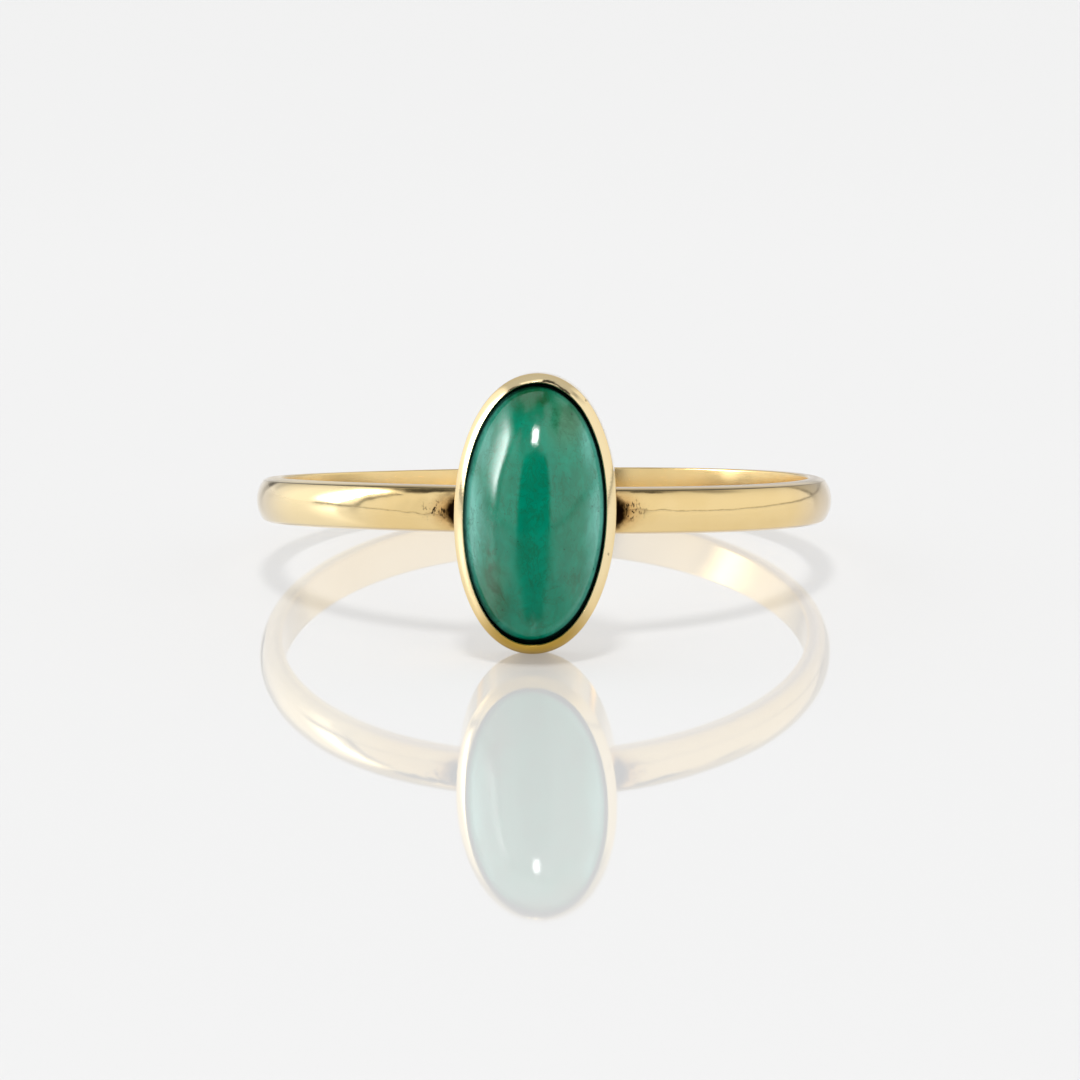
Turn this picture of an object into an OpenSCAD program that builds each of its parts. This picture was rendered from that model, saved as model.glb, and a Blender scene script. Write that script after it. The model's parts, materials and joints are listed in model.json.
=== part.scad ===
// A slim gold ring with a tall oval turquoise cabochon in a bezel.
// It lies on its side as it comes to rest by itself: the foot of the bezel and the back of
// the band touch the surface at z = 0. The stone faces -Y, +Z is up, and the origin is the
// middle of the ground that the ring covers.
// The pieces are drawn round the finger's axis first, and turned into that pose at the end.

/* [Band] */
// Inside diameter, which is the finger's size
finger_d = 17.3; // [15:0.1:20]
// Width along the finger
band_w = 1.48; // [1.3:0.02:1.8]
// Thickness at the two flat sides
side_t = 0.46; // [0.44:0.02:0.6]
// Rise of the domed outside over the flat sides
dome_rise = 0.30; // [0.26:0.02:0.34]
// Bevel that softens the two inside edges
inside_bevel = 0.06; // [0.02:0.01:0.1]

/* [Bezel] */
// Outside length along the finger
bezel_l = 8.76; // [8.4:0.02:9.2]
// Outside width across the finger
bezel_w = 5.06; // [4.8:0.02:5.4]
// Distance by which an ellipse is grown evenly all round to make the oval
oval_growth = 1.05; // [0.8:0.05:1.4]
// Height from the foot to the rim
bezel_h = 2.08; // [2:0.02:2.4]
// Thickness of the wall
wall_t = 0.20; // [0.16:0.01:0.22]
// Width of the burnished lip that holds the stone
lip_w = 0.30; // [0.26:0.01:0.34]
// Thickness of the closed back
back_t = 0.50; // [0.5:0.01:0.6]
// Distance of the foot from the inside of the band
foot_lift = 0.30; // [0.28:0.01:0.34]
// Lean of the oval to the right, in degrees
bezel_lean = 1.6; // [0:0.2:3]
// Distance of its middle below the band's
bezel_drop = 0.04; // [0:0.01:0.1]

/* [Stone] */
// Gap between the stone and the metal
stone_gap = 0.04; // [0.03:0.01:0.05]
// Radius of the dome's round crown, across the stone
crown_r = 1.8; // [1.7:0.02:1.9]
// Slope at which the crown passes into the flanks, in degrees
crown_angle = 50; // [46:1:52]
// Slope of the flanks at the edge, in degrees
flank_angle = 62; // [58:1:64]
// Bevel round the stone's flat underside
stone_bevel = 0.12; // [0.05:0.01:0.2]

/* [Hidden] */
$fn = 128;
around = 64;
lip_steps = 8;
crown_steps = 10;
flank_steps = 4;
lip_dip = 0.05;
undercut = 0.16;
margin = 1;
gold = "#E6CE93";
turquoise = "#2F8069";

// Band's section: the dome is a circle through both shoulders and the crest.
finger_r = finger_d / 2;
shoulder_r = finger_r + side_t;
crest_r = shoulder_r + dome_rise;
section_r = (pow(band_w / 2, 2) + pow(dome_rise, 2)) / (2 * dome_rise);
section_mid = crest_r - section_r;

// Lip's section: a round bead on the wall, undercut where it holds the stone's edge.
lip_r = lip_w / 2;
bead_mid_h = bezel_h - lip_r;
lip_edge_h = bead_mid_h - lip_dip;
undercut_h = lip_edge_h - undercut;

// Stone: flat arcs rise from the girdle, the widest line round it, to the crown, and pass
// the lip's edge at the gap.
foot_r = finger_r + foot_lift;
girdle_inset = wall_t + stone_gap;
girdle_half_w = bezel_w / 2 - girdle_inset;
girdle_h = lip_edge_h - (lip_w - girdle_inset) * tan(flank_angle) - stone_gap / cos(flank_angle);
crown_half_w = crown_r * sin(crown_angle);
flank_r = (girdle_half_w - crown_half_w) / (sin(flank_angle) - sin(crown_angle));
crown_foot_h = girdle_h + flank_r * (cos(crown_angle) - cos(flank_angle));
crown_mid_h = crown_foot_h - crown_r * cos(crown_angle);
stone_foot_h = back_t + stone_gap;

// Rest: a line under the bezel's foot and under the back of the band is the surface.
core = [bezel_w, bezel_l] / 2 - [oval_growth, oval_growth];
foot_low = bezel_drop + oval_growth + norm([core.x * sin(bezel_lean), core.y * cos(bezel_lean)]);
rest_tilt = atan2(foot_low - band_w / 2, foot_r + shoulder_r);
rest_z = shoulder_r * sin(rest_tilt) + band_w / 2 * cos(rest_tilt);
crown_half_l = crown_r * (bezel_l / 2 - girdle_inset) / girdle_half_w;
front_y = (foot_r + crown_mid_h) * cos(rest_tilt) + bezel_drop * sin(rest_tilt)
  + norm([crown_r * cos(rest_tilt), crown_half_l * sin(rest_tilt)]);
back_y = section_mid * cos(rest_tilt) + section_r;
rest_y = (front_y - back_y) / 2;

// Turns the ring from its own axis into the pose in which it rests.
module at_rest() {
  translate([0, rest_y, rest_z]) rotate([-rest_tilt, 0, 0]) children();
}

// Puts what is drawn on the bezel's foot, looking out, at its place on the ring.
module at_bezel() {
  translate([0, -foot_r, -bezel_drop]) rotate([90, 0, 0]) rotate([0, 0, -bezel_lean]) children();
}

// Point of the oval whose normal looks along the angle a, set in from the outline.
function oval_point(a, inset) =
  let (n = [cos(a), sin(a)])
  [core.x * core.x * n.x, core.y * core.y * n.y] / norm([core.x * n.x, core.y * n.y])
  + (oval_growth - inset) * n;

// One level ring of points round the oval, shrunk towards its middle.
function oval_ring(inset, h, shrink = 1) = [
  for (i = [0:around - 1])
    let (p = oval_point(360 * i / around, inset) * shrink)
    [p.x, p.y, h]
];

// A closed solid through rings of points, from its lowest flat face to its last one.
module through_rings(rings) {
  last = len(rings) - 1;
  polyhedron(
    points = [for (ring = rings) each ring],
    faces = [
      [for (i = [0:around - 1]) i],
      for (k = [0:last - 1], i = [0:around - 1])
        let (a = k * around + i, b = k * around + (i + 1) % around)
        each [[a, b + around, b], [a, a + around, b + around]],
      [for (i = [around - 1:-1:0]) last * around + i],
    ]
  );
}

module band_section() {
  intersection() {
    polygon([
      [finger_r, -band_w / 2 + inside_bevel],
      [finger_r + inside_bevel, -band_w / 2],
      [crest_r + margin, -band_w / 2],
      [crest_r + margin, band_w / 2],
      [finger_r + inside_bevel, band_w / 2],
      [finger_r, band_w / 2 - inside_bevel],
    ]);
    translate([section_mid, 0]) circle(r = section_r);
  }
}

module band() {
  rotate_extrude() band_section();
}

// A cup: up the outside, over the rounded lip, down the inside to the closed back.
module bezel() {
  through_rings([
    oval_ring(0, 0),
    for (i = [0:lip_steps])
      let (a = 180 * i / lip_steps)
      oval_ring(lip_r - lip_r * cos(a), bead_mid_h + lip_r * sin(a)),
    oval_ring(lip_w, lip_edge_h),
    oval_ring(wall_t, undercut_h),
    oval_ring(wall_t, back_t),
  ]);
}

// Band and bezel are soldered, so they are one piece of metal.
module band_and_bezel() {
  color(gold) at_rest() {
    band();
    at_bezel() bezel();
  }
}

// A flat foot, an upright girdle, the flanks and the crown. Each level is a smaller oval.
module cabochon() {
  through_rings([
    oval_ring(girdle_inset + stone_bevel, stone_foot_h),
    oval_ring(girdle_inset, stone_foot_h + stone_bevel),
    for (i = [flank_steps:-1:1])
      let (a = crown_angle + (flank_angle - crown_angle) * i / flank_steps)
      oval_ring(
        girdle_inset,
        crown_foot_h - flank_r * (cos(crown_angle) - cos(a)),
        (crown_half_w + flank_r * (sin(a) - sin(crown_angle))) / girdle_half_w
      ),
    for (i = [crown_steps:-1:1])
      let (a = crown_angle * i / crown_steps)
      oval_ring(girdle_inset, crown_mid_h + crown_r * cos(a), crown_r * sin(a) / girdle_half_w),
  ]);
}

module stone() {
  color(turquoise) at_rest() at_bezel() cabochon();
}

band_and_bezel();
stone();
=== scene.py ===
"""Dresses the slim gold ring with the tall oval turquoise, and lights it as in a white studio.

The ring is drawn round the finger's axis in millimetres, X to the right, Y to the back and Z
along the finger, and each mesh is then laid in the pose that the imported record's finger hole has.
"""

import json
import math
from functools import partial

import bpy
import numpy as np
from bpy.props import FloatProperty, FloatVectorProperty, PointerProperty
from mathutils import Matrix


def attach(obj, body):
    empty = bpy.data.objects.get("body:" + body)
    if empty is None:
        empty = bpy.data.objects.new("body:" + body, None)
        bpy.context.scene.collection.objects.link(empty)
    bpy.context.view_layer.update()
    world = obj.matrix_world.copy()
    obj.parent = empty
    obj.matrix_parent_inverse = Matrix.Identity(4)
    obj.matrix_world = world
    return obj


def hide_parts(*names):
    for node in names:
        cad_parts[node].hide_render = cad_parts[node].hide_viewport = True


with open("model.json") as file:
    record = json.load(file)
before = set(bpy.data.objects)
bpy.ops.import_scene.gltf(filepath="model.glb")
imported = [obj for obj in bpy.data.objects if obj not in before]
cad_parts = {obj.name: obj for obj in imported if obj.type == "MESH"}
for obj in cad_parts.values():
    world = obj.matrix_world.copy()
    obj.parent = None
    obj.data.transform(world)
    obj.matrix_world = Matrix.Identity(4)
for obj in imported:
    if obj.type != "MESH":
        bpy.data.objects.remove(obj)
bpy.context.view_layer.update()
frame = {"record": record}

bl_info = {
    "name": "Gold ring with turquoise",
    "version": (1, 0, 0),
    "blender": (4, 5, 0),
    "location": "3D View > Sidebar > Ring",
    "description": "Band, bezel, cabochon and studio for a resting ring",
    "category": "Object",
}

MM = 0.001
FINGER_HOLE = frame["record"]["mounts"][0]
RING_MIDDLE = np.array(FINGER_HOLE["pos_m"])
FINGER_AXIS = np.array(FINGER_HOLE["axis"])
TO_THE_RIGHT = np.array([1.0, 0.0, 0.0])
RING_AXES = np.array([TO_THE_RIGHT, np.cross(FINGER_AXIS, TO_THE_RIGHT), FINGER_AXIS])
REST_TILT = math.atan2(FINGER_AXIS[1], FINGER_AXIS[2])
# Degrees in a radian.
DEGREES = math.degrees(1)
# Side of the square picture, and the camera's focal length and middle in its pixels.
PHOTO_PIXELS = 1080
FOCAL_PIXELS = 6402.0
MIDDLE_PIXELS = (544.08, 499.2)
# Points round the band, the bezel and the stone, and rings of points over the stone's dome.
AROUND_BAND = 960
AROUND_BEZEL = 512
AROUND_STONE = 400
DOME_RINGS = 112


def size_mm(name, text, value):
    """One of the ring's sizes, in millimetres."""
    return FloatProperty(name=name, description=text, default=value, min=0, precision=3)


def linear(code):
    """The linear red, green and blue of an sRGB hex code."""
    s = np.array([int(code[i : i + 2], 16) for i in (1, 3, 5)]) / 255
    return tuple(np.where(s <= 0.04045, s / 12.92, ((s + 0.055) / 1.055) ** 2.4).tolist())


def colour(name, text, code):
    """A colour property whose default is an sRGB hex code, kept in linear light."""
    return FloatVectorProperty(
        name=name, description=text, default=linear(code), size=3, subtype="COLOR", min=0, max=1,
    )


class RingSizes(bpy.types.PropertyGroup):
    """The ring's sizes and angles"""

    finger_r: size_mm("Finger radius", "Inside radius of the band", 8.65)
    crest_r: size_mm("Crest radius", "Outside radius of the band at its crest", 9.41)
    band_w: size_mm("Band width", "Width of the band along the finger", 1.48)
    dome_r: size_mm("Dome radius", "Radius of the band's domed outside", 1.063)
    shoulder_r: size_mm("Shoulder radius", "Rounding between dome and side", 0.12)
    side_r: size_mm("Side radius", "Radius of the slightly crowned sides", 0.70)
    inside_r: size_mm("Inside edge radius", "Rounding of the inside edges", 0.07)
    bezel_l: size_mm("Bezel length", "Outside length of the bezel", 8.76)
    bezel_w: size_mm("Bezel width", "Outside width of the bezel", 5.06)
    oval_growth: size_mm("Oval growth", "How far an ellipse is grown to make the oval", 1.05)
    foot_r: size_mm("Foot radius", "Distance of the bezel's foot from the finger's axis", 8.95)
    bezel_h: size_mm("Bezel height", "Height from the foot to the rim", 2.08)
    back_t: size_mm("Back thickness", "Thickness of the bezel's closed back", 0.50)
    wall_t: size_mm("Wall thickness", "Thickness of the bezel's wall", 0.20)
    lip_w: size_mm("Lip width", "Width of the burnished lip", 0.30)
    lip_top_h: size_mm("Lip height", "Height of the lip's edge over the foot", 2.02)
    lip_outer_r: size_mm("Lip outer radius", "Rounding between wall and lip", 0.08)
    lip_edge_r: size_mm("Lip edge radius", "Rounding of the lip's edge", 0.02)
    bezel_drop: size_mm("Bezel drop", "How far the bezel sits below the band's middle", 0.04)
    stone_gap: size_mm("Stone gap", "Space between stone and wall", 0.04)
    crown_r: size_mm("Crown radius", "Radius of the stone's crown, across it", 1.80)
    bezel_lean: FloatProperty(
        name="Bezel lean", description="Lean of the oval to the right", subtype="ANGLE",
        default=math.radians(1.6),
    )
    lip_slope: FloatProperty(
        name="Lip slope", description="Slope at which the lip leans over the stone",
        subtype="ANGLE", default=math.radians(50),
    )
    lip_bulge: FloatProperty(
        name="Lip bulge", description="Change of the lip's slope from its middle to each side",
        subtype="ANGLE", default=math.radians(9),
    )
    crown_angle: FloatProperty(
        name="Crown angle", description="Slope at which the crown passes into the flanks",
        subtype="ANGLE", default=math.radians(50),
    )
    flank_angle: FloatProperty(
        name="Flank angle", description="Slope of the flanks at the stone's edge",
        subtype="ANGLE", default=math.radians(62),
    )


class RingColours(bpy.types.PropertyGroup):
    """Colours of the ring and of the floor"""

    gold: colour("Gold", "Polished 14 karat yellow gold", "#F6DA9F")
    # Painted sheen: a pale gold for the lip and the band's left end, standing for light that makes
    # them look paler.
    pale_sheen_gold: colour("Lip gold", "Burnished lip, paler than the band", "#FBE6B6")
    # Painted shade: a deeper gold for the lip's lower end, which reflects shaded floor.
    shaded_low_lip_gold: colour("Low lip gold", "Deeper gold at the lip's lower end", "#F2C65A")
    # Partly painted reflection: the satin sides and the band's far ends are painted lilac grey, as
    # the tent's grey back shows in them.
    satin_and_grey_reflection: colour("Worn side", "Satin side faces of the band", "#D3C9C2")
    # Also painted near black as shade in the bezel's crevice and as a dark reflection along the
    # band's upper edge.
    dark_tarnish_and_shade: colour("Tarnish", "Black brown film beside the bezel", "#1C0F05")
    thin_tarnish: colour("Thin tarnish", "Warm brown where the film thins out", "#C0801F")
    turquoise: colour("Turquoise", "Main green of the stone", "#009E7C")
    pale_turquoise: colour("Pale turquoise", "Lighter margins of the stone", "#76D6C2")
    matrix: colour("Matrix", "Olive threads and stains in the stone", "#1C6037")
    floor: colour("Floor", "Glossy white floor", "#CFCFCF")


class StudioSettings(bpy.types.PropertyGroup):
    """Camera and lights of the white studio"""

    camera_distance: size_mm("Camera distance", "From the camera to the ring's middle", 210.0)
    camera_rise: FloatProperty(
        name="Camera rise", description="Angle of the view over the ring's plane",
        subtype="ANGLE", default=math.radians(2.23),
    )
    camera_turn: FloatProperty(
        name="Camera turn", description="Angle of the view to the ring's right",
        subtype="ANGLE", default=math.radians(1.52),
    )
    tent: FloatProperty(name="Tent", description="Light of the white tent", default=0.95, min=0)
    softbox: FloatProperty(
        name="Softbox", description="Brightest light of the softbox on the left", default=13.0,
        min=0,
    )
    floor_glow: FloatProperty(
        name="Floor glow", description="Light that comes through the floor from below",
        default=0.265, min=0,
    )
    lamp: FloatProperty(
        name="Lamp", description="Power of the small lamp", default=0.9, min=0, unit="POWER",
    )


def at_rest(points):
    """Points of the ring in millimetres, laid in the resting pose in metres."""
    return RING_MIDDLE + (points * MM) @ RING_AXES


def ripple(points, waves, count=24):
    """Smooth unevenness over points, all in millimetres. Each row of waves gives a height, a
    wavelength and a seed, and adds the height times the mean of plane waves of about that
    wavelength, which run in random directions."""
    uneven = 0
    for height, wavelength, seed in waves:
        rng = np.random.default_rng(seed)
        way = rng.normal(size=(3, count))
        way *= 2 * np.pi / (np.linalg.norm(way, axis=0) * wavelength * rng.uniform(0.7, 1.5, count))
        phase = rng.uniform(0, 2 * np.pi, count)
        uneven = uneven + height * (np.cos(points @ way + phase).sum(-1) / math.sqrt(count))
    return uneven


def shell(name, rings, closed_section=False):
    """A mesh through rings of points, an array of rings by points by 3. Each ring closes on
    itself. The last ring joins the first in a closed section; otherwise each end is closed
    by a fan to the middle of its ring. Faces point outwards."""
    count, around = rings.shape[:2]
    points = rings.reshape(-1, 3)
    strips = count if closed_section else count - 1
    i, j = np.meshgrid(np.arange(strips), np.arange(around), indexing="ij")
    a, b = i * around + j, i * around + (j + 1) % around
    up = ((i + 1) % count - i) * around
    quads = np.stack([a, b, b + up, a + up], -1).reshape(-1, 4)
    fans = np.zeros((0, 3), int)
    if not closed_section:
        points = np.vstack([points, rings[0].mean(0), rings[-1].mean(0)])
        j = np.arange(around)
        k, low, high = (j + 1) % around, len(points) - 2, len(points) - 1
        last = (count - 1) * around
        fans = np.vstack(
            [np.stack([k, j, j * 0 + low], -1), np.stack([last + j, last + k, j * 0 + high], -1)]
        )
    corners = points[np.vstack([quads[:, [0, 1, 2]], quads[:, [0, 2, 3]], fans])]
    volume = np.einsum("ij,ij->i", corners[:, 0], np.cross(corners[:, 1], corners[:, 2])).sum()
    if volume < 0:
        quads, fans = quads[:, ::-1], fans[:, ::-1]
    mesh = bpy.data.meshes.new(name)
    mesh.vertices.add(len(points))
    mesh.vertices.foreach_set("co", at_rest(points).astype(np.float32).ravel())
    mesh.loops.add(quads.size + fans.size)
    faces = np.concatenate([quads.ravel(), fans.ravel()])
    mesh.loops.foreach_set("vertex_index", faces.astype(np.int32))
    mesh.polygons.add(len(quads) + len(fans))
    sides = np.concatenate([np.full(len(quads), 4), np.full(len(fans), 3)])
    mesh.polygons.foreach_set("loop_start", (np.cumsum(sides) - sides).astype(np.int32))
    mesh.update(calc_edges=True)
    mesh.validate()
    mesh.shade_smooth()
    piece = bpy.data.objects.new(name, mesh)
    bpy.context.scene.collection.objects.link(piece)
    return piece


def paint(piece, name, values):
    """Keeps one number for each point of the mesh, which the material reads."""
    full = np.zeros(len(piece.data.vertices), np.float32)
    full[: values.size] = values.ravel()
    piece.data.attributes.new(name, "FLOAT", "POINT").data.foreach_set("value", full)


def arc(middle, radius, start, end, steps):
    """Points of a circle's arc between two angles, in degrees."""
    a = np.radians(np.linspace(start, end, steps))
    return np.stack([middle[0] + radius * np.cos(a), middle[1] + radius * np.sin(a)], -1)


def band_section(s):
    """Outline of the band across, as distance from the axis and height, and the outward slope
    of its surface in degrees. Each half is a chain of arcs that touch: dome, shoulder,
    crowned side and inside edge."""
    dome_steps, shoulder_steps, side_steps, inside_steps = 22, 6, 9, 6
    side_from = 62.0
    lean = math.radians(side_from)
    top = s.band_w / 2
    rise = top - s.side_r * (1 - math.sin(lean)) - s.shoulder_r * math.sin(lean)
    reach = s.dome_r - s.shoulder_r
    dome_to = math.degrees(math.asin(rise / reach))
    dome_mid = s.crest_r - s.dome_r
    shoulder_mid = (dome_mid + reach * math.cos(math.radians(dome_to)), rise)
    side_mid = (
        shoulder_mid[0] - (s.side_r - s.shoulder_r) * math.cos(lean),
        shoulder_mid[1] - (s.side_r - s.shoulder_r) * math.sin(lean),
    )
    inside_mid = (s.finger_r + s.inside_r, top - s.inside_r)
    half, slope = [], []
    for middle, radius, start, end, steps, first in (
        ((dome_mid, 0), s.dome_r, 0, dome_to, dome_steps, 0),
        (shoulder_mid, s.shoulder_r, dome_to, side_from, shoulder_steps, 1),
        (side_mid, s.side_r, side_from, 90, side_steps, 1),
        (inside_mid, s.inside_r, 90, 180, inside_steps, 0),
    ):
        half.append(arc(middle, radius, start, end, steps)[first:])
        slope.append(np.linspace(start, end, steps)[first:])
    half, slope = np.vstack(half), np.concatenate(slope)
    outline = np.vstack([half, half[:0:-1] * [1, -1]])
    return outline, np.concatenate([slope, slope[:0:-1]])


def oval(s, a, inset):
    """Points of the oval whose normal looks along the angles a, set in from the outline: the
    support point of an ellipse, moved out along the normal."""
    n = np.stack([np.cos(a), np.sin(a)], -1)
    core = np.array([s.bezel_w, s.bezel_l]) / 2 - s.oval_growth
    support = core**2 * n / np.linalg.norm(core * n, axis=-1, keepdims=True)
    return support + (s.oval_growth - np.asarray(inset)[..., None]) * n


def at_bezel(s, flat, height):
    """Points drawn on the bezel's foot, leaned and stood at the front of the ring."""
    lean = s.bezel_lean
    x = flat[..., 0] * math.cos(lean) + flat[..., 1] * math.sin(lean)
    z = -flat[..., 0] * math.sin(lean) + flat[..., 1] * math.cos(lean)
    return np.stack([x, -s.foot_r - height, z - s.bezel_drop], -1)


# Unevenness of the band all over and where it was filed, of the lip's width, height and slope,
# and of the stone: height and wavelength in millimetres, and the seed of its waves.
BAND_WAVES = ((0.0032, 1.9, 3), (0.0014, 0.8, 5))
FILED_WAVES = ((0.0034, 0.5, 6),)
LIP_WIDTH_WAVES = ((0.005, 2.6, 11), (0.0015, 0.9, 13))
LIP_HEIGHT_WAVES = ((0.006, 2.2, 12), (0.0015, 0.8, 14))
LIP_SLOPE_WAVES = ((0.016, 2.0, 15), (0.005, 0.7, 16))
STONE_WAVES = ((0.0016, 1.9, 21), (0.0009, 0.55, 22))


def make_band(s):
    """The band: its section carried round the finger's axis, with the steps closer together at
    the front, then twisted very slightly out of its plane as x times y. A ripple of a few
    thousandths of a millimetre is stronger beside the bezel, where it was filed. There the
    dome also leans, by a tenth of the height: one way on the right and the other on the left."""
    crowding, dome_lean, twist = 0.45, 0.10, 0.0012
    filed_middle, filed_reach = 3.2, 1.5
    outline, slope = band_section(s)
    turn = np.linspace(0, 2 * np.pi, AROUND_BAND, endpoint=False)
    turn -= crowding * np.sin(turn)
    radius, height = outline[:, None, 0], outline[:, None, 1]
    rings = np.stack([radius * np.sin(turn), -radius * np.cos(turn), height + 0 * turn], -1)
    outside = np.clip((outline[:, 0] - s.finger_r) / (s.crest_r - s.finger_r), 0, 1)
    filed = np.exp(-(((np.abs(rings[..., 0]) - filed_middle) / filed_reach) ** 2))
    lean = dome_lean * np.sign(rings[..., 0]) * height
    uneven = ripple(rings, BAND_WAVES) + filed * (ripple(rings, FILED_WAVES) + lean)
    rings[..., :2] *= (1 + uneven * outside[:, None] / s.crest_r)[..., None]
    rings[..., 2] += twist * rings[..., 0] * rings[..., 1]
    piece = shell("gold_band", rings, closed_section=True)
    # The edge number marks a painted dark reflection along the upper edge; the side number marks
    # sides painted partly grey as a reflection.
    for name, values in (
        ("side", 1 - np.clip(np.abs(slope - 84) / 22, 0, 1)),
        ("edge", np.exp(-(((slope - 50) / 14) ** 2)) * (outline[:, 1] > 0)),
        ("inside", np.clip((slope - 100) / 60, 0, 1)),
    ):
        paint(piece, name, np.repeat(values, turn.size))
    return piece


def lip_profile(s):
    """The bezel's section from the middle of its back to the middle of its floor, as inset and
    height, and how deep each point lies in the crevice, from 0 to 1. The wall turns by an arc
    into a slope that leans over the stone, bulges a little, and ends in a small round edge."""
    slope, bulge = math.degrees(s.lip_slope), math.degrees(s.lip_bulge)
    outer = bead(s.lip_outer_r, 90, slope + bulge, 7)
    face = bead(1.0, slope + bulge, slope - bulge, 9)
    edge = bead(s.lip_edge_r, slope - bulge, -90, 10)
    edge[:, 0] += s.lip_w - edge[-1, 0]
    edge[:, 1] += s.lip_top_h - edge[:, 1].max()
    outer[:, 0] -= outer[0, 0]
    reach = edge[0, 0] - outer[-1, 0]
    face[:, 0] *= reach / (face[-1, 0] - face[0, 0])
    face[:, 1] *= reach * math.tan(s.lip_slope) / (face[-1, 1] - face[0, 1])
    face += edge[0] - face[-1]
    outer[:, 1] += face[0, 1] - outer[-1, 1]
    back = [
        (2.2, 0.0), (1.2, 0.0), (0.4, 0.0), (0.05, 0.0), (0.015, 0.012), (0.0, 0.05), (0.0, 0.8),
    ]
    under = [
        (s.lip_w, s.lip_top_h - 0.14), (s.lip_w - 0.02, s.lip_top_h - 0.18),
        (s.wall_t, s.lip_top_h - 0.34), (s.wall_t, s.back_t + 0.3), (s.wall_t, s.back_t),
        (0.6, s.back_t), (1.3, s.back_t), (2.2, s.back_t),
    ]
    line = np.vstack([back, outer, face[1:-1], edge, under])
    deep = np.zeros(len(line))
    deep[-len(under) :] = 1
    deep[-len(under) - 4 : -len(under)] = (0.1, 0.4, 0.8, 1.0)
    return np.column_stack([line, deep])


def bead(radius, start, end, steps):
    """An arc of the bezel's section, as inset and height, between two tilts of its surface's
    normal from the way the bezel looks, in degrees."""
    tilt = np.radians(np.linspace(start, end, steps))
    return radius * np.stack([-np.sin(tilt), np.cos(tilt)], -1)


def make_bezel(s):
    """The bezel: its section carried round the oval, with a lip whose width, height and slope
    wander by a few thousandths of a millimetre, as hand burnishing leaves it. Past the oval's
    inmost even offset the rings shrink towards its middle."""
    even_to, shrink_over, wave_circle = 1.02, 1.25, 4
    a = np.linspace(0, 2 * np.pi, AROUND_BEZEL, endpoint=False)
    inset, height, deep = (v[:, None] for v in smooth_line(lip_profile(s), 4).T)
    way = np.stack([np.cos(a), np.sin(a), 0 * a], -1) * wave_circle
    lip = np.clip((height - 1.5) / 0.4, 0, 1)
    outside = (inset < s.lip_w + 0.001) * lip
    inset = inset + outside * ripple(way, LIP_WIDTH_WAVES)
    across = inset / s.lip_w - 0.5
    height = height + outside * ripple(way, LIP_HEIGHT_WAVES)
    height = height + outside * across * ripple(way, LIP_SLOPE_WAVES)
    shrink = 1 - np.clip(inset - even_to, 0, None) / shrink_over
    flat = oval(s, a, np.minimum(inset, even_to)) * shrink[..., None]
    piece = shell("gold_bezel", at_bezel(s, flat, height))
    # Painted shade: the gold is painted dark where points lie deep in the crevice under the lip and
    # on its edge.
    paint(piece, "crevice", np.repeat(np.clip(deep, 0, 1), a.size))
    paint(piece, "lip", np.repeat(lip * (1 - deep), a.size))
    return piece


def smooth_line(points, times):
    """Inserts points between those of a line along a curve through them (Catmull and Rom's cubic,
    kept from overshooting by clipping each step to its own two ends)."""
    p = np.vstack([points[0], points, points[-1]])
    t = np.linspace(0, 1, times, endpoint=False)[:, None, None]
    a, b, c, d = p[:-3], p[1:-2], p[2:-1], p[3:]
    square, cube = 2 * a - 5 * b + 4 * c - d, 3 * b - a - 3 * c + d
    curve = 0.5 * (2 * b + (c - a) * t + square * t**2 + cube * t**3)
    curve = np.clip(curve, np.minimum(b, c), np.maximum(b, c))
    return np.vstack([curve.transpose(1, 0, 2).reshape(-1, points.shape[1]), points[-1]])


def dome_height(s, share):
    """Height of the dome over its edge line at a share of the way from the crown's middle to
    the edge. The sine of its slope rises evenly over the crown and then slowly over the
    flanks, the two being blended, and the slope is summed up from the edge."""
    half_w = s.bezel_w / 2 - s.wall_t - s.stone_gap
    x = np.linspace(0, half_w, 4001)
    blend_width = 0.035
    crown = x / s.crown_r
    start = math.sin(s.crown_angle)
    knee = s.crown_r * start
    flank = start + (x - knee) * (math.sin(s.flank_angle) - start) / (half_w - knee)
    steep = -blend_width * np.logaddexp(-crown / blend_width, -flank / blend_width)
    slope = steep / np.sqrt(1 - steep**2)
    drop = np.concatenate([[0], np.cumsum((slope[1:] + slope[:-1]) / 2 * np.diff(x))])
    return drop[-1] - np.interp(np.asarray(share) * half_w, x, drop)


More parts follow.
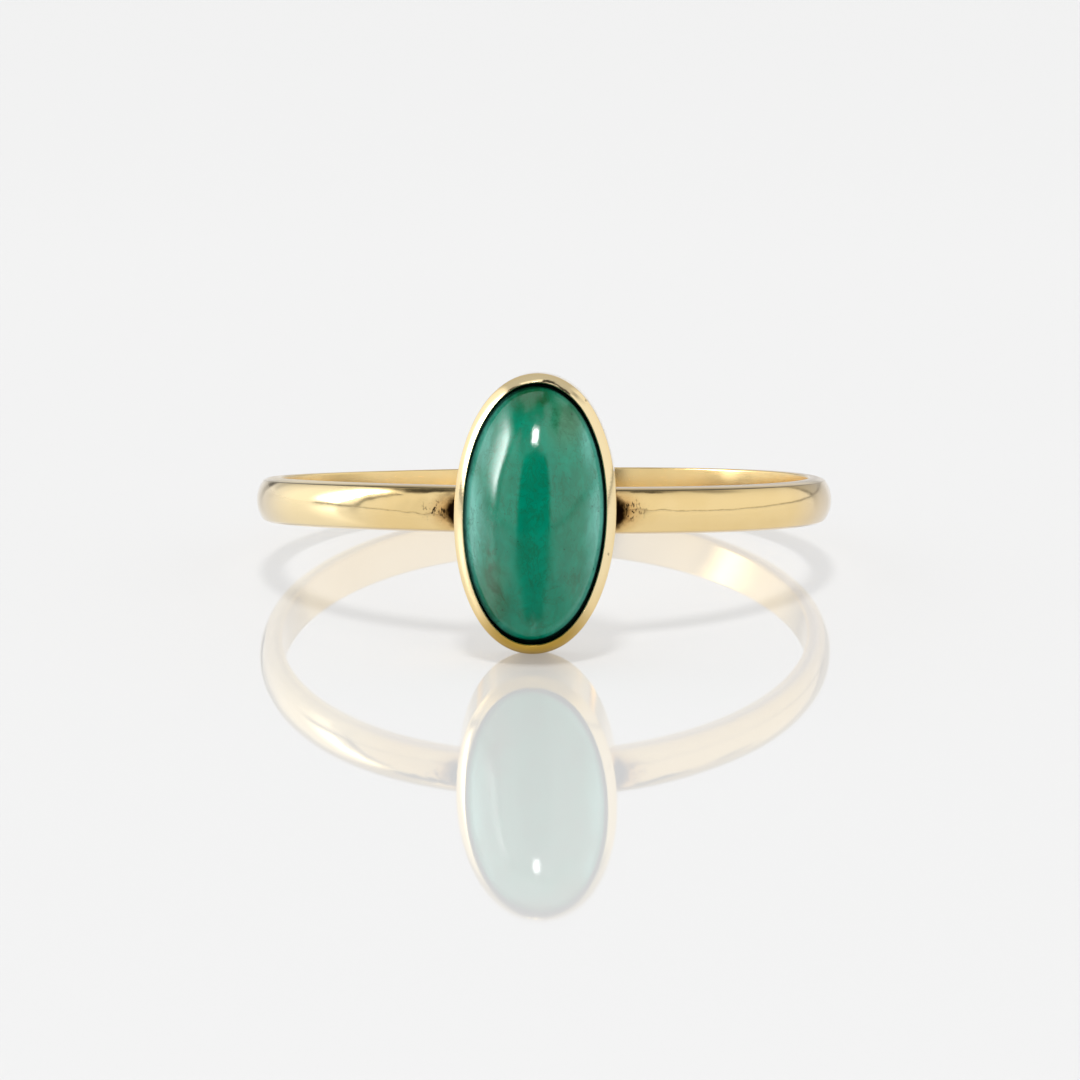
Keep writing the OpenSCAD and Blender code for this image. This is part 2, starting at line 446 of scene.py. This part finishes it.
def make_stone(s):
    """The cabochon: rings of the oval, each a share of the one at its edge, raised by the dome's
    height there, over an upright edge and a flat underside. It is painted dark as shade in the
    crevice under the lip, further up on the shadow's side, and painted pale in a margin above that
    on its left and right, partly its own pale colour and partly painted light against the lip's
    shade."""
    lip_dip, shadow_rise, shadow_way = 0.05, 0.07, math.radians(-22)
    a = np.linspace(0, 2 * np.pi, AROUND_STONE, endpoint=False)
    inset = s.wall_t + s.stone_gap
    edge = oval(s, a, np.full(a.shape, inset))
    lip_edge = s.bezel_h - s.lip_w / 2 - lip_dip
    under_lip = (s.lip_w - inset) * math.tan(s.flank_angle)
    edge_h = lip_edge - under_lip - s.stone_gap / math.cos(s.flank_angle)
    foot_h = s.back_t + s.stone_gap
    share = np.sin(np.linspace(np.pi / 2, 0, DOME_RINGS, endpoint=False)) ** 1.15
    foot_share = np.array([0.3, 0.7, 0.92, 0.95, 0.985, 1.0, 1.0, 1.0])
    foot_rise = np.array([0, 0, 0, 0.0, 0.02, 0.1, 0.5, 0.8]) * (edge_h - foot_h)
    shares = np.concatenate([foot_share, share])
    heights = np.concatenate([foot_h + foot_rise, edge_h + dome_height(s, share)])[:, None]
    points = at_bezel(s, edge * shares[:, None, None], heights + 0 * a)
    dome = np.clip((heights - edge_h) / 0.4, 0, 1)
    points[..., 1] -= dome * ripple(points, STONE_WAVES)
    piece = shell("turquoise_cabochon", points)
    shadow_side = shadow_rise * (np.cos(a - shadow_way) - 0.5)
    # Painted shade: the stone is painted near black below a height under the lip, higher on the
    # shadow's side.
    rim = np.clip((s.lip_top_h - 0.07 + shadow_side - heights) / 0.05, 0, 1)
    paint(piece, "crevice", rim)
    # Painted light: above that, a margin on the left and right is painted pale against the lip's
    # shade.
    margin = 1 - np.clip((heights - s.lip_top_h + 0.1 - shadow_side) / 0.3, 0, 1)
    paint(piece, "margin", margin * np.clip(1.6 * np.abs(np.cos(a)) - 0.4, 0, 1))
    return piece


# Settings that many nodes share.
SMOOTH = {"interpolation_type": "SMOOTHSTEP"}
TIMES = {"operation": "MULTIPLY"}
PLUS = {"operation": "ADD"}
LESS = {"operation": "SUBTRACT"}
LARGEST = {"operation": "MAXIMUM"}
COLOURS = {"data_type": "RGBA"}


def add_node(tree, kind, values=(), out=0, join=(), **settings):
    """Adds a node with its settings and links, and gives one of its outputs, or all of them.
    A value is a number, a colour or another node's output, by the order of the inputs or by
    their names. Each value of join then goes through one more such node with the result."""
    node = tree.nodes.new("ShaderNode" + kind)
    for key, value in settings.items():
        setattr(node, key, value)
    for key, value in values.items() if isinstance(values, dict) else enumerate(values):
        if isinstance(value, bpy.types.NodeSocket):
            tree.links.new(value, node.inputs[key])
        else:
            node.inputs[key].default_value = value
    result = node.outputs if out is None else node.outputs[out]
    for value in join:
        result = add_node(tree, kind, (result, value), out, **settings)
    return result


def new_material(name):
    """An empty material, the function that adds nodes to it, and the ring's own coordinates
    in millimetres."""
    material = bpy.data.materials.new(name)
    material.use_nodes = True
    material.node_tree.nodes.clear()
    add = partial(add_node, material.node_tree)
    ring = add("Mapping", {
        "Vector": add("TexCoord", (), "Object"), "Location": RING_MIDDLE,
        "Rotation": (-REST_TILT, 0, 0), "Scale": (MM, MM, MM),
    }, vector_type="TEXTURE")
    return material, add, ring


def grain(add, where, size, detail=3.0, roughness=0.5, distortion=0.0, stretch=(1, 1, 1)):
    """A cloudy pattern whose grains are about so many millimetres across, from 0 to 1."""
    near = add("Mapping", {"Vector": where, "Scale": [k / size for k in stretch]})
    return add("TexNoise", {
        "Vector": near, "Scale": 1.0, "Detail": detail, "Roughness": roughness,
        "Distortion": distortion,
    })


def patch(add, where, middle, reach, soft):
    """A soft patch, 1 in its middle and 0 outside, as wide as its reach in each direction."""
    near = add(
        "Mapping", {"Vector": where, "Location": middle, "Scale": reach}, vector_type="TEXTURE",
    )
    far = add("VectorMath", (near,), "Value", operation="LENGTH")
    return add("MapRange", (far, 1.0, 1.0 - soft), **SMOOTH)


def shaken(add, where, size, amount):
    """Coordinates shaken by a cloudy pattern, so that a patch gets an uneven edge."""
    near = add("Mapping", {"Vector": where, "Scale": [1 / size] * 3})
    cloud = add("TexNoise", {"Vector": near, "Scale": 1.0, "Detail": 4.0}, 1)
    move = add("VectorMath", (cloud, (0.5, 0.5, 0.5)), **LESS)
    far = add("VectorMath", {0: move, "Scale": amount}, operation="SCALE")
    return add("VectorMath", (where, far), **PLUS)


def threads(add, where, size, width, stretch):
    """Thin wandering lines, 1 where a cloudy pattern passes its middle value and 0 beside it."""
    cloud = grain(add, where, size, 4, 0.6, 0.6, stretch)
    off = add("Math", (add("Math", (cloud, 0.5), **LESS),), operation="ABSOLUTE")
    return add("MapRange", (off, width, 0.0), **SMOOTH)


def opaque(rgb):
    """The colour with an alpha of 1."""
    return (*rgb, 1.0)


# How far back the corners between band and bezel, the stone's face and its foot lie, from the
# ring's middle and in millimetres, like all places on the ring.
CORNER_BACK = -9.1
FACE_BACK = -11
FOOT_BACK = -10.7
# Those corners: the film's middle to the right and up, and how much taller it is.
TARNISHED_CORNERS = ((-2.45, -0.03, 1.0), (2.42, -0.08, 1.05))
# Width, height and softness of the brown film and of its dark core.
FILM_AND_CORE = ((1.35, 0.95, 0.95), (0.56, 0.68, 0.5))
# Where the film frays into pits: middle and reach.
PITTED_PLACES = (
    ((-3.15, CORNER_BACK, -0.02), (0.75, 1.3, 0.46)),
    ((2.95, CORNER_BACK, 0.02), (0.7, 1.3, 0.5)),
)
# Small brown nicks in the lip: their middle to the right and up.
LIP_NICKS = ((1.60, 3.48), (1.72, 1.37), (2.28, -1.27))
# How much red, green and blue the worn clouds in the polish keep.
WORN_SHARES = (0.97, 0.95, 0.90)


def gold_material(colours):
    """Polished 14 karat gold with fine wear, satin sides, and brown tarnish and pits beside the
    bezel. Light and shade are painted in: a pale sheen on the lip and the band's left end, a deeper
    shade at the lip's lower end, a grey reflection on the sides and far ends, a dark reflection
    along the band's upper edge, and dark shade in the bezel's crevice."""
    # 14 karat gold, rolled and polished by hand: a pale yellow mirror, slightly clouded by wear.
    material, add, where = new_material("polished_14_karat_gold")
    across, behind, along = add("SeparateXYZ", (where,), None)
    side, edge, inside, lip, crevice = (
        add("Attribute", (), "Fac", attribute_name=name)
        for name in ("side", "edge", "inside", "lip", "crevice")
    )
    outside = add("Math", (1.0, inside), **LESS)
    clouded = add("MapRange", (grain(add, where, 1.6), 0.35, 0.65), **SMOOTH)
    # Painted sheen: the band's left end is painted paler where the softbox's glow falls.
    left_end_sheen = add("MapRange", (across, -4.6, -6.6, 0.0, 0.9), **SMOOTH)
    off_middle = add("Math", (across,), operation="ABSOLUTE")
    # Painted reflection: the band's far ends are painted grey.
    grey_reflected_ends = add("MapRange", (off_middle, 7.8, 9.6, 0.0, 0.5), **SMOOTH)
    # The lip is painted with a pale sheen above its lower end.
    lip_sheen_above = add("MapRange", (along, -4.0, -1.5), **SMOOTH)
    # Painted shade: the lip's lower end is painted a deeper gold.
    lip_shade_below = add("MapRange", (along, -2.9, -4.2), **SMOOTH)
    # The brown film is thickest in the corner between band and bezel, and frays into pits. The
    # real pits are finer, and are drawn as coarse as they need to show.
    uneven = shaken(add, where, 0.16, 0.24)
    film, core = (
        add("Math", [
            patch(add, uneven, (x, CORNER_BACK, z), (wide, 0.85, tall * taller), soft)
            for x, z, taller in TARNISHED_CORNERS
        ], **LARGEST)
        for wide, tall, soft in FILM_AND_CORE
    )
    pitted = [patch(add, where, middle, reach, 0.7) for middle, reach in PITTED_PLACES]
    pitted = add("Math", pitted, **LARGEST)
    pits = grain(add, where, 0.11, 4, 0.6, stretch=(1, 1, 0.6))
    pits = add("MapRange", (pits, 0.55, 0.66), **SMOOTH)
    pits = add("Math", (pits, pitted), join=(0.95,), **TIMES)
    film, core, pits = (add("Math", (spot, outside), **TIMES) for spot in (film, core, pits))
    nicks = [
        patch(add, uneven, (x, FACE_BACK, z), (0.05, 2, 0.08), 0.6) for x, z in LIP_NICKS
    ]
    nicks = add("Math", nicks[:2], join=nicks[2:], **LARGEST)
    nicks = add("Math", (nicks, 0.5), **TIMES)
    to_front = add("MapRange", (behind, 1.0, -8.0, 0.1, 1.0), **SMOOTH)
    # Painted reflection: a dark line along the band's upper edge, stronger towards the front.
    painted_dark_line = add("Math", (edge, to_front), **TIMES)
    # Tarnish, pits and nicks, with painted shade in the bezel's crevice and the painted dark line.
    tarnish_and_painted_shade = add("Math", (core, pits), join=(nicks, crevice, painted_dark_line), **LARGEST)
    base = opaque(colours.gold)
    # These layers also paint light and shade: pale sheen, deeper shade low on the lip, grey
    # reflection and near-black shade.
    for cover, coat in (
        (clouded, [c * k for c, k in zip(colours.gold, WORN_SHARES)]),
        (add("Math", (side, 0.75), **TIMES), colours.satin_and_grey_reflection),
        (add("Math", (left_end_sheen, outside), **TIMES), colours.pale_sheen_gold),
        (grey_reflected_ends, colours.satin_and_grey_reflection),
        (add("Math", (lip, lip_sheen_above), **TIMES), colours.pale_sheen_gold),
        (add("Math", (lip, lip_shade_below), **TIMES), colours.shaded_low_lip_gold),
        (add("Math", (film, 0.9), **TIMES), colours.thin_tarnish),
        (tarnish_and_painted_shade, colours.dark_tarnish_and_shade),
    ):
        base = add("Mix", {0: cover, 6: base, 7: opaque(coat)}, 2, **COLOURS)
    wear = add("MapRange", (grain(add, where, 0.5, 5, 0.6), 0.35, 0.75, 0.07, 0.12), **SMOOTH)
    satin, matt, sooty = (
        add("Math", (place, share), **TIMES)
        for place, share in ((side, 0.16), (inside, 0.12), (tarnish_and_painted_shade, 0.3))
    )
    rough = add("Math", (wear, satin), join=(matt, sooty), **PLUS)
    # Polishing marks are a few thousandths of a millimetre wide, and are drawn as coarse as
    # they need to show.
    marks = grain(add, where, 0.05, 4, 0.6, stretch=(0.35, 0.35, 1))
    height = add("Math", (marks, add("Math", (pits, 3.0), **TIMES)), **LESS)
    shader = add("BsdfPrincipled", {
        "Base Color": base, "Metallic": 1.0, "Roughness": rough,
        "Normal": add("Bump", {"Height": height, "Strength": 0.1, "Distance": 0.00001}),
    })
    add("OutputMaterial", {"Surface": shader}, None)
    return material


# Where the stone is paler: the middle across and along it, the reach and the strength.
PALE_MARGINS = (
    (-2.30, -0.2, 0.95, 3.6, 1.3),
    (2.25, -0.6, 0.85, 3.6, 1.0),
    (1.75, 2.6, 0.50, 1.7, 0.7),
    (-1.65, 2.3, 0.45, 1.5, 0.6),
)
# The same for the olive brown matrix.
MATRIX_PATCHES = (
    (-1.32, -1.2, 0.40, 2.4, 0.9),
    (-1.15, -2.5, 0.60, 1.4, 1.0),
    (0.28, 3.60, 0.30, 0.42, 1.5),
    (-0.60, 3.45, 0.35, 0.55, 0.9),
    (0.95, 2.95, 0.75, 1.1, 0.55),
    (1.30, -0.6, 0.45, 0.6, 0.5),
    (1.30, -2.1, 0.50, 1.0, 0.6),
    (0.0, -3.35, 0.50, 0.50, 0.8),
    (-0.1, 3.65, 1.1, 0.7, 0.8),
)
# The same for a smooth olive haze, with its colour.
OLIVE_HAZE = (
    (0.95, 2.9, 0.9, 1.4, 0.6, "#4F8F66"),
    (-0.1, 3.60, 1.15, 0.85, 0.9, "#1A7044"),
    (1.20, 3.0, 0.7, 1.0, 0.35, "#4C8556"),
    (-1.25, -2.3, 0.65, 1.6, 0.6, "#37774C"),
    (1.15, 0.0, 0.8, 2.2, 0.35, "#337C56"),
)
# The gap under the lip, where no light comes, and the specks.
DARK_GREEN = "#06120E"
# How much red, green and blue the stone's deeper clouds keep.
DEEP_SHARES = (1.0, 0.84, 0.84)


def face_spots(add, where, places, soft):
    """Soft patches on the stone's face, one for each row of a table and as strong as it says."""
    return [
        add("Math", (patch(add, where, (x, FACE_BACK, z), (wide, 4, tall), soft), share), **TIMES)
        for x, z, wide, tall, share, *_ in places
    ]


def turquoise_material(colours):
    """Polished green turquoise: a deep green with paler margins, partly painted light near the lip,
    olive matrix in soft patches, fine threads and dark specks, painted shade in the crevice under
    the lip, and a rough vein down its left side."""
    # Natural green turquoise, cut and polished: waxy gloss over mottled green with olive matrix.
    material, add, where = new_material("polished_green_turquoise")
    margin, crevice = (
        add("Attribute", (), "Fac", attribute_name=name) for name in ("margin", "crevice")
    )
    flow = shaken(add, where, 0.9, 0.40)
    clouds = grain(add, flow, 0.8, 5, 0.6, stretch=(1.3, 1, 0.6))
    clouds = add("MapRange", (clouds, 0.35, 0.65), **SMOOTH)
    pale, olive = (
        add("Math", (0.0, spots[0]), join=spots[1:], **LARGEST)
        for spots in (
            face_spots(add, flow, PALE_MARGINS, 0.8), face_spots(add, flow, MATRIX_PATCHES, 0.8),
        )
    )
    # The painted light of the margin near the lip joins the real pale margins.
    pale = add("Math", (pale, add("Math", (margin, 0.85), **TIMES)), **LARGEST)
    mottle = grain(add, flow, 0.42, 6, 0.6, 0.8, (1.2, 1, 0.7))
    mottle = add("MapRange", (mottle, 0.36, 0.66), **SMOOTH)
    stain = add("Math", (mottle, add("Math", (olive, 0.30), **LARGEST)), join=(0.9,), **TIMES)
    # The real threads and specks are finer, and are drawn as coarse as they need to show.
    fine = add("Math", (
        threads(add, flow, 0.7, 0.022, (1, 1, 0.6)), threads(add, where, 0.40, 0.02, (1, 1, 0.45)),
    ), **LARGEST)
    thread_zone = add("MapRange", (grain(add, where, 1.2, 2), 0.42, 0.60, 0.06, 0.40), **SMOOTH)
    specks = add("MapRange", (grain(add, where, 0.15, 2), 0.70, 0.78, 0.0, 0.6), **SMOOTH)
    # Painted shade: the crevice under the lip is painted near black, like the specks.
    dark = add("Math", (specks, add("Math", (crevice, 0.95), **TIMES)), **LARGEST)
    base = opaque(colours.turquoise)
    for cover, coat in (
        (clouds, [c * k for c, k in zip(colours.turquoise, DEEP_SHARES)]),
        (pale, colours.pale_turquoise),
        *zip(face_spots(add, flow, OLIVE_HAZE, 0.9), (linear(row[-1]) for row in OLIVE_HAZE)),
        (stain, colours.matrix),
        (add("Math", (fine, thread_zone), **TIMES), colours.matrix),
        (dark, linear(DARK_GREEN)),
    ):
        base = add("Mix", {0: cover, 6: base, 7: opaque(coat)}, 2, **COLOURS)
    vein = patch(add, flow, (-1.27, FACE_BACK, -0.4), (0.30, 4, 1.5), 0.6)
    orange_peel = grain(add, where, 0.12, 6, 0.7)
    rough = add("Math", (
        add("MapRange", (orange_peel, 0.3, 0.8, 0.06, 0.13), **SMOOTH),
        add("Math", (vein, 0.10), **TIMES),
    ), **PLUS)
    pits = add("MapRange", (grain(add, where, 0.07), 0.60, 0.72), **SMOOTH)
    pits = add("Math", (pits, vein), **TIMES)
    height = add("Math", (orange_peel, add("Math", (pits, 3.0), **TIMES)), **LESS)
    shader = add("BsdfPrincipled", {
        "Base Color": base, "Roughness": rough, "IOR": 1.61,
        "Normal": add("Bump", {"Height": height, "Strength": 0.24, "Distance": 0.00001}),
    })
    add("OutputMaterial", {"Surface": shader}, None)
    return material


def floor_material(colours, studio):
    """Glossy white acrylic sheet: an even white with a clear, weak mirror image."""
    # Cast acrylic, lit from above and through itself from below: bright, even and very smooth under
    # a clear coat, so it shows the ring again below itself. Glossy rays see the part before the
    # stone painted black, a painted dark reflection in the stone's own mirror image. There it is
    # also rougher and has less coat, which keeps the lamp's second glint out of the stone.
    material, add, where = new_material("white_acrylic_sheet")
    mirrored = add("LightPath", (), "Is Glossy Ray")
    across, behind, _ = add("SeparateXYZ", (where,), None)
    ahead = add("Math", (FOOT_BACK, behind), **LESS)
    turn = add("Math", (across, ahead), operation="ARCTAN2")
    before_stone = between(add, add("Math", (turn, DEGREES), **TIMES), (-40, 38), 20)
    at_foot = patch(add, where, (0, FOOT_BACK, 0), (1.3, 1.3, 30), 0.6)
    off_foot = add("Math", (1.0, at_foot), **LESS)
    before_stone = add("Math", (before_stone, off_foot), **TIMES)
    close_by = patch(add, where, (0, -13, 0), (6, 7, 30), 0.6)
    # Painted dark reflection: glossy rays see the floor before the stone painted black.
    clear = add("Math", (
        add("Math", (before_stone, 0.95), **TIMES), add("Math", (close_by, 0.45), **TIMES),
    ), **LARGEST)
    clear = add("Math", (clear, mirrored), **TIMES)
    rougher = add("Math", (before_stone, 0.15), **TIMES)
    rough = add("Math", (mirrored, add("Math", (0.45, rougher), **PLUS)), **TIMES)
    less_coat = add("Math", (mirrored, close_by), join=(0.5,), **TIMES)
    cloud = grain(add, where, 60, 2)
    clouded = [c * 0.985 for c in colours.floor]
    white, black = (1, 1, 1, 1), (0, 0, 0, 1)
    base = add("Mix", {0: cloud, 6: opaque(colours.floor), 7: opaque(clouded)}, 2, **COLOURS)
    shader = add("BsdfPrincipled", {
        "Base Color": add("Mix", {0: clear, 6: base, 7: black}, 2, **COLOURS),
        "Emission Color": add("Mix", {0: clear, 6: white, 7: black}, 2, **COLOURS),
        "Emission Strength": studio.floor_glow,
        "Roughness": add("Math", (rough, 0.03), **PLUS),
        "IOR": 1.49,
        "Coat Weight": add("Math", (0.6, less_coat), **LESS),
    })
    add("OutputMaterial", {"Surface": shader}, None)
    return material


def finish_piece(piece, node, material):
    """Gives a piece its finish, attaches it to the root body and hides the imported part that it
    replaces.
    """
    piece.data.materials.append(material)
    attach(piece, "root")
    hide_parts(node)


class RING_OT_metal(bpy.types.Operator):
    """Makes the gold band and the bezel soldered to it"""

    bl_idname = "ring.metal"
    bl_label = "Gold band and bezel"

    def execute(self, context):
        sizes, colours = context.scene.ring_sizes, context.scene.ring_colours
        gold = gold_material(colours)
        for piece in (make_band(sizes), make_bezel(sizes)):
            finish_piece(piece, "band_and_bezel", gold)
        return {"FINISHED"}


class RING_OT_stone(bpy.types.Operator):
    """Makes the oval turquoise cabochon"""

    bl_idname = "ring.stone"
    bl_label = "Turquoise cabochon"

    def execute(self, context):
        colours = context.scene.ring_colours
        stone = make_stone(context.scene.ring_sizes)
        finish_piece(stone, "stone", turquoise_material(colours))
        return {"FINISHED"}


def make_floor(colours, studio):
    """A square of floor, 4 by 4 faces over 3 by 3 metres, level at the height of zero."""
    x, y = np.meshgrid(np.linspace(-1.5, 1.5, 5), np.linspace(-1.5, 1.5, 5), indexing="ij")
    points = np.stack([x, y, 0 * x], -1).reshape(-1, 3)
    i, j = np.meshgrid(np.arange(4), np.arange(4), indexing="ij")
    a = (i * 5 + j).ravel()
    mesh = bpy.data.meshes.new("floor")
    mesh.from_pydata(points.tolist(), [], np.stack([a, a + 5, a + 6, a + 1], -1).tolist())
    floor = bpy.data.objects.new("floor", mesh)
    bpy.context.scene.collection.objects.link(floor)
    floor.data.materials.append(floor_material(colours, studio))


# The tent's parts, from the first to the last painted: what it is, the turn to the right of the
# camera and the rise over the floor between which it lies, in degrees, how soft its edge is,
# and its light as a share of the white cloth's.
TENT_SIDES = (
    ("back wall, left", (-200, -152), (-90, 90), 3, 0.60),
    ("back wall, right", (142, 200), (-90, 90), 3, 0.60),
    ("seam, left", (-157, -151), (-30, 60), 1.5, 0.15),
    ("seam, right", (139, 143), (-30, 60), 1.5, 0.25),
    ("wall left of the camera", (-60, -30), (-5, 50), 7, 0.9),
    ("glow round the softbox", (-130, -84), (-2, 48), 7, 1.2),
    ("frame of the softbox", (-81.5, -77.5), (-3, 46), 1.2, 0.3),
    ("shaded foot by the softbox", (-102, -78), (-3, 4), 3, 0.55),
    ("edge of the floor", (-104, 200), (-2, 1.3), 0.9, 0.4),
    ("shade over the opening", (-31, 31), (50, 66), 6, 0.45),
    ("opening for the camera", (-34.5, 33), (-90, 58.5), 2.5, 0.0),
)
# The same for the roof, by the parts of a direction that run to the right and to the back.
TENT_ROOF = (
    ("roof at the back", (-0.62, 0.6), (0.05, 0.84), 0.06, 0.62),
    ("roof at the front, left", (-0.52, -0.08), (-0.56, -0.24), 0.05, 0.5),
    ("roof at the front, right", (0.1, 0.36), (-0.56, -0.18), 0.06, 0.9),
    ("slot in the roof", (-0.62, 0.18), (-0.13, 0.10), 0.03, 0.05),
    ("corner of the slot", (-0.45, -0.04), (-0.28, -0.12), 0.04, 0.15),
    ("end of the slot", (0.15, 0.40), (0.04, 0.13), 0.03, 0.05),
    ("branch of the slot", (0.38, 0.60), (-0.13, 0.09), 0.03, 0.05),
    ("bend of the slot", (0.60, 0.76), (0.13, 0.34), 0.05, 0.45),
    ("panel behind the slot", (-0.40, 0.12), (0.07, 0.22), 0.02, 1.25),
    ("foot of the panel", (-0.33, -0.04), (-0.02, 0.08), 0.02, 1.0),
    ("gap beside the panel", (0.12, 0.36), (0.02, 0.2), 0.02, 0.05),
    ("backdrop", (-0.3, 0.3), (0.88, 1.1), 0.04, 0.85),
)
# The softbox hangs between these turns and rises, and fades away from its right edge.
SOFTBOX_TURN = (-115, -88.5)
SOFTBOX_RISE = (8, 44)
# Its share of light where it is mirrored twice.
MIRRORED_TWICE = 0.28


def between(add, value, limits, soft):
    """1 where a value lies between two limits and 0 outside, with soft edges."""
    low, high = limits
    return add("Math", (
        add("MapRange", (value, low - soft, low + soft), **SMOOTH),
        add("MapRange", (value, high + soft, high - soft), **SMOOTH),
    ), **TIMES)


def make_tent(studio):
    """The white tent as the world: its parts are painted over the white by their place. The
    softbox shows in the gloss of things, weakly where it is mirrored twice, and lights nothing
    else, and the camera itself sees an even white."""
    world = bpy.data.worlds.new("white_tent")
    bpy.context.scene.world = world
    world.use_nodes = True
    world.node_tree.nodes.clear()
    add = partial(add_node, world.node_tree)
    ray = add("LightPath", (), None)
    right, back, up = add("SeparateXYZ", (add("TexCoord", (), "Generated"),), None)
    front = add("Math", (back, -1.0), **TIMES)
    turn = add("Math", (right, front), operation="ARCTAN2")
    rise = add("Math", (up,), operation="ARCSINE")
    turn, rise = (add("Math", (angle, DEGREES), **TIMES) for angle in (turn, rise))
    overhead = add("MapRange", (up, 0.0, 0.1), **SMOOTH)
    light = 1.0
    for parts, across, along, only in (
        (TENT_SIDES, turn, rise, 1.0), (TENT_ROOF, right, back, overhead),
    ):
        for part, over_across, over_along, soft, share in parts:
            mask = add("Math", (
                between(add, across, over_across, soft), between(add, along, over_along, soft),
            ), join=(only,), **TIMES)
            light = add("Mix", {0: mask, 2: light, 3: share}, data_type="FLOAT", label=part)
    light = add("Math", (light, studio.tent), **TIMES)
    fade = add("MapRange", (turn, *SOFTBOX_TURN), **SMOOTH)
    mirrored_once = add("Math", (ray["Glossy Depth"], 1.5), operation="LESS_THAN")
    mirrored_once = add("Math", (mirrored_once, MIRRORED_TWICE), **LARGEST)
    softbox = add(
        "Math", (between(add, turn, SOFTBOX_TURN, 1), between(add, rise, SOFTBOX_RISE, 6)),
        join=(fade, fade, studio.softbox, ray["Is Glossy Ray"], mirrored_once), **TIMES,
    )
    light = add("Math", (light, softbox), **PLUS)
    tent = add("Background", {"Color": (1, 1, 1, 1), "Strength": light})
    plain = add("Background", {"Color": (0.9, 0.9, 0.9, 1), "Strength": 1.0})
    seen = add("MixShader", (ray["Is Camera Ray"], tent, plain))
    add("OutputWorld", {"Surface": seen}, None)


def add_light(name, turn, rise, distance, width, height, power):
    """A rectangular light that looks at the ring, so many degrees to the left of the front."""
    data = bpy.data.lights.new(name, "AREA")
    data.shape, data.size, data.size_y, data.energy = "RECTANGLE", width, height, power
    light = bpy.data.objects.new(name, data)
    bpy.context.scene.collection.objects.link(light)
    a, e = math.radians(turn), math.radians(rise)
    way = np.array([-math.sin(a) * math.cos(e), -math.cos(a) * math.cos(e), math.sin(e)])
    light.matrix_world = facing(way * distance, way, np.array([0, 0, 1.0]))
    light.visible_camera = False


def facing(place, back, up):
    """Matrix of a camera or light at a place, which looks against a direction and is upright."""
    back = back / np.linalg.norm(back)
    side = np.cross(up, back)
    side /= np.linalg.norm(side)
    m = np.eye(4)
    m[:3, 0], m[:3, 1], m[:3, 2], m[:3, 3] = side, np.cross(back, side), back, place
    return Matrix(m.tolist())


def make_camera(studio):
    """The camera at the photograph's distance and angle to the ring, level with its plane."""
    rise, turn = studio.camera_rise, studio.camera_turn
    level = math.cos(rise)
    way = np.array([math.sin(turn) * level, -math.cos(turn) * level, math.sin(rise)])
    data = bpy.data.cameras.new("camera")
    camera = bpy.data.objects.new("camera", data)
    bpy.context.scene.collection.objects.link(camera)
    data.sensor_width = 36.0
    data.lens = FOCAL_PIXELS / PHOTO_PIXELS * data.sensor_width
    data.shift_x = (PHOTO_PIXELS / 2 - MIDDLE_PIXELS[0]) / PHOTO_PIXELS
    data.shift_y = (MIDDLE_PIXELS[1] - PHOTO_PIXELS / 2) / PHOTO_PIXELS
    data.clip_start, data.clip_end = 0.01, 10.0
    place = at_rest(way * studio.camera_distance)
    camera.matrix_world = facing(place, way @ RING_AXES, FINGER_AXIS)
    bpy.context.scene.camera = camera


class RING_OT_studio(bpy.types.Operator):
    """Makes the floor, the tent, the lamp and the camera"""

    bl_idname = "ring.studio"
    bl_label = "White studio"

    def execute(self, context):
        studio = context.scene.ring_studio
        make_floor(context.scene.ring_colours, studio)
        make_tent(studio)
        add_light(
            "small_lamp", turn=3.5, rise=70, distance=0.5, width=0.075, height=0.10,
            power=studio.lamp,
        )
        make_camera(studio)
        context.scene.view_settings.view_transform = "Standard"
        return {"FINISHED"}


class RING_PT_maker(bpy.types.Panel):
    """Lists the ring's sizes, colours and steps"""

    bl_label = "Gold ring"
    bl_idname = "RING_PT_maker"
    bl_space_type = "VIEW_3D"
    bl_region_type = "UI"
    bl_category = "Ring"

    def draw(self, context):
        scene = context.scene
        for settings in (scene.ring_sizes, scene.ring_colours, scene.ring_studio):
            for key in settings.bl_rna.properties.keys():
                if key not in ("rna_type", "name"):
                    self.layout.prop(settings, key)
        for operator in (RING_OT_metal, RING_OT_stone, RING_OT_studio):
            self.layout.operator(operator.bl_idname)


CLASSES = (
    RingSizes, RingColours, StudioSettings, RING_OT_metal, RING_OT_stone, RING_OT_studio,
    RING_PT_maker,
)


def register():
    for cls in CLASSES:
        bpy.utils.register_class(cls)
    bpy.types.Scene.ring_sizes = PointerProperty(type=RingSizes)
    bpy.types.Scene.ring_colours = PointerProperty(type=RingColours)
    bpy.types.Scene.ring_studio = PointerProperty(type=StudioSettings)


def unregister():
    del bpy.types.Scene.ring_studio, bpy.types.Scene.ring_colours, bpy.types.Scene.ring_sizes
    for cls in reversed(CLASSES):
        bpy.utils.unregister_class(cls)


def main():
    """Makes the ring and the studio."""
    register()
    bpy.ops.ring.metal()
    bpy.ops.ring.stone()
    bpy.ops.ring.studio()


if __name__ == "__main__":
    main()
